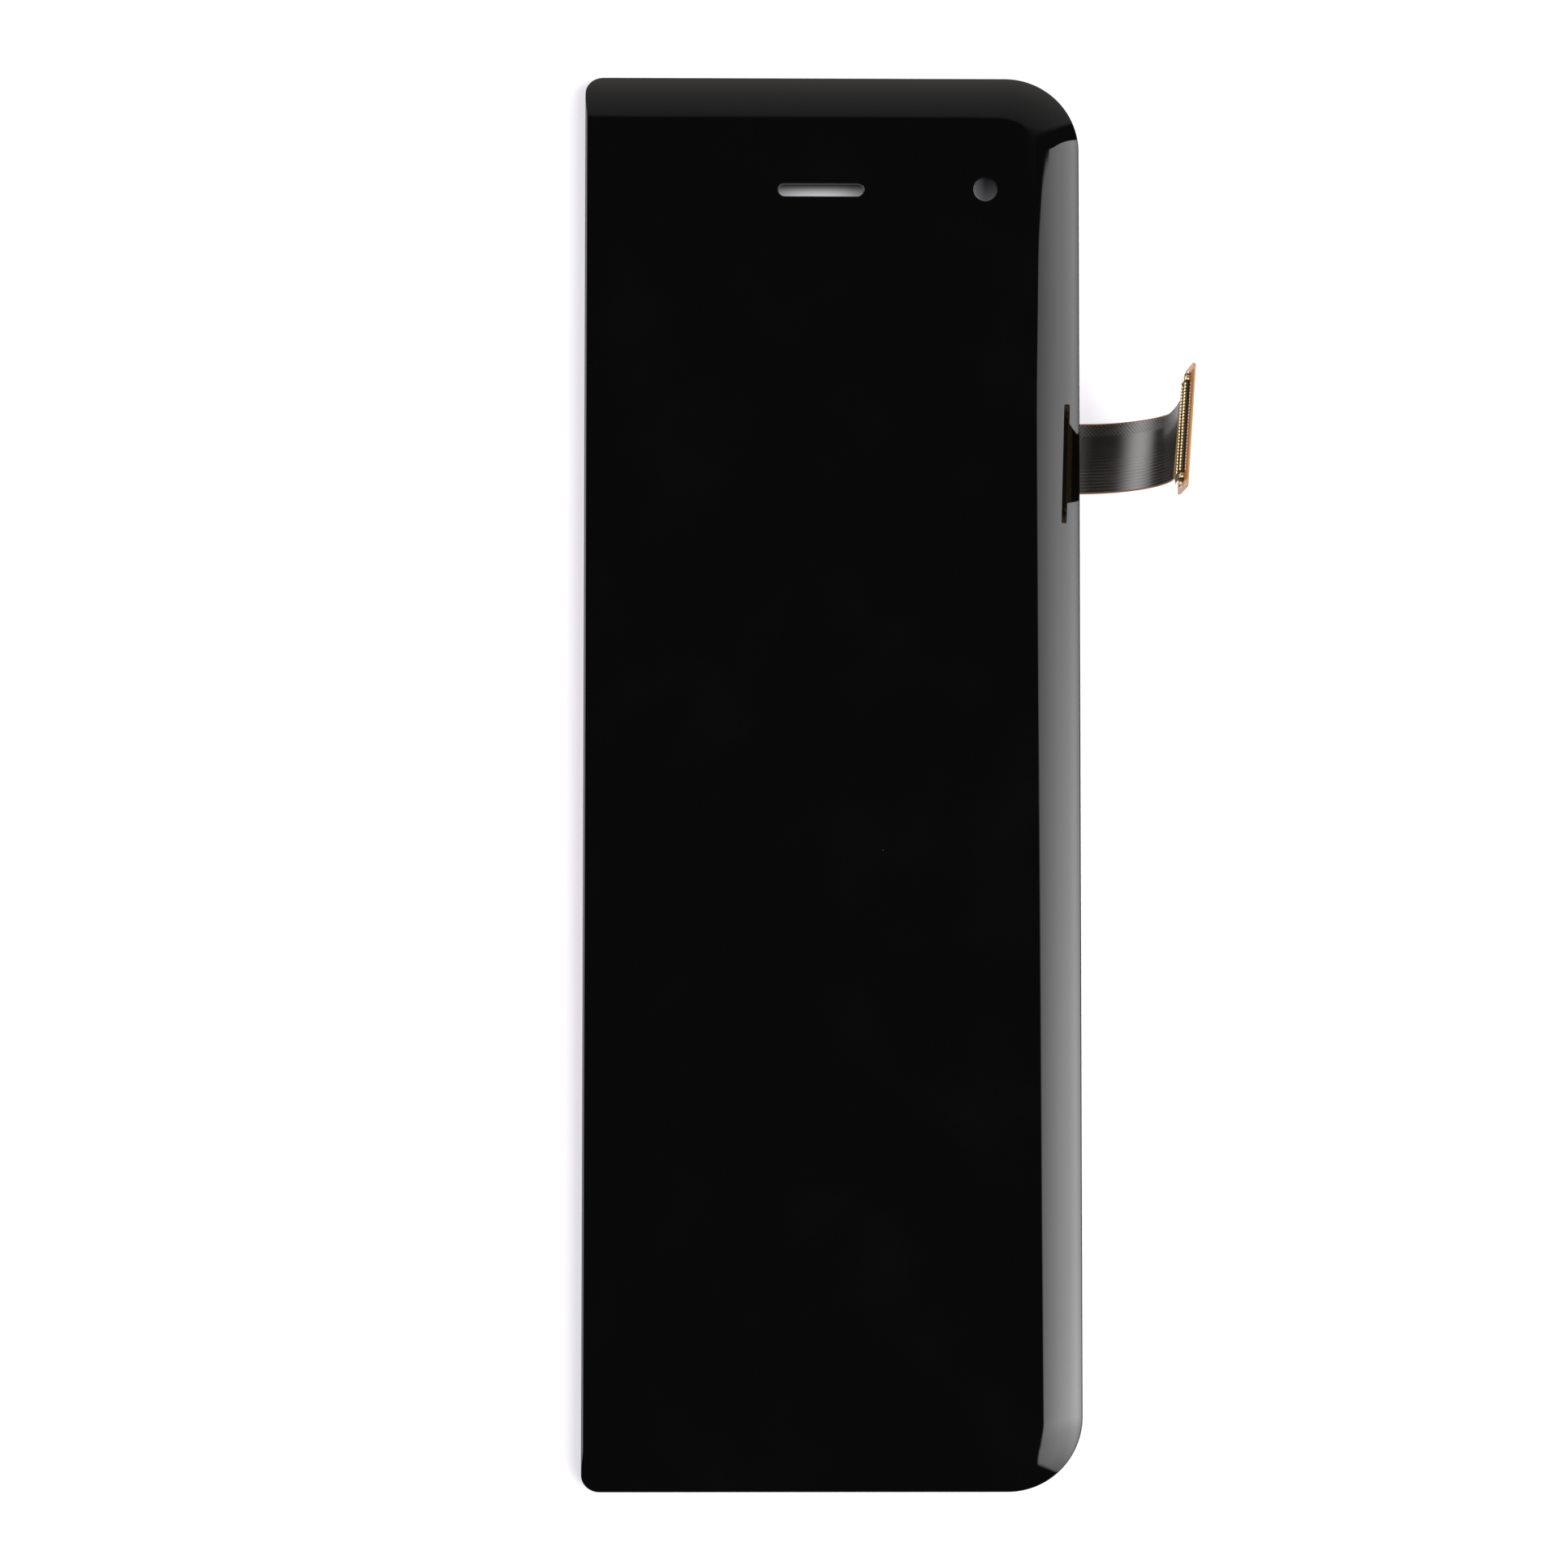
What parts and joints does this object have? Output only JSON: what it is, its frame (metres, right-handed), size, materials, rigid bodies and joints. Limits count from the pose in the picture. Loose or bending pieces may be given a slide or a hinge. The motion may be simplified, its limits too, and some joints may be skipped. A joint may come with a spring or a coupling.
{
  "type": "phone display assembly",
  "caption": "Cover display module of a folding phone: bent black glass over a bonded panel, with a flex circuit behind it and a curled tail that ends in a board connector.",
  "frame": {"origin": "in the rear face of the copper sheet, at the middle of the cover glass in plan", "axes": "+Z out of the front of the glass, +Y up along the glass's long side towards the earpiece slot, +X towards the bent side where the tail leaves"},
  "size_m": [0.0661, 0.156, 0.0162],
  "materials": {
    "cover_glass": "polished, bent, black from the front",
    "black_ink": "screen printed ink, satin from behind",
    "clear_adhesive": "clear",
    "polarizer_film": "neutral grey film",
    "panel_glass": "thin display glass",
    "backplane_glass": "thin display glass with circuit layers",
    "glass_frit": "fused glass paste",
    "emitter_stack": "thin film stack",
    "bare_silicon": "bare silicon",
    "bonding_film": "filled adhesive film",
    "flex_circuit": "amber coverlay over copper tracks",
    "touch_flex": "amber film",
    "mounting_tape": "black double-sided tape",
    "shield_film": "black shield film",
    "foam": "thin black foam",
    "copper_foil": "dull rolled copper foil",
    "chip_package": "moulded or coated package",
    "inductor": "grey ferrite with tinned ends",
    "capacitor": "tan ceramic with tinned ends",
    "resistor": "dark film with tinned ends",
    "stiffener": "orange-brown laminate",
    "connector_plastic": "dark moulded polymer",
    "gold_plate": "gold flash over copper alloy",
    "bright_gold": "bright gold flash"
  },
  "bodies": {
    "root": {"cover_glass": "cover_glass", "black_mask": "black_ink", "optical_adhesive": "clear_adhesive", "polarizer": "polarizer_film", "encapsulation_glass": "panel_glass", "backplane_glass": "backplane_glass", "cell_seal": "glass_frit", "emitter_layer": "emitter_stack", "driver_chip": "bare_silicon", "bonding_film": "bonding_film", "touch_bonds": "bonding_film", "flex_circuit": "flex_circuit", "touch_flex": "touch_flex", "flex_tape": "mounting_tape", "tail_shield_front": "shield_film", "tail_shield_rear": "shield_film", "foam_cushion": "foam", "copper_sheet": "copper_foil", "touch_controller": "chip_package", "power_chip": "chip_package", "memory_chip": "chip_package", "inductors": "inductor", "capacitors": "capacitor", "resistors": "resistor", "board_stiffener": "stiffener", "connector_housing": "connector_plastic", "connector_contacts": "gold_plate", "connector_clips": "bright_gold"}
  },
  "joints": []
}
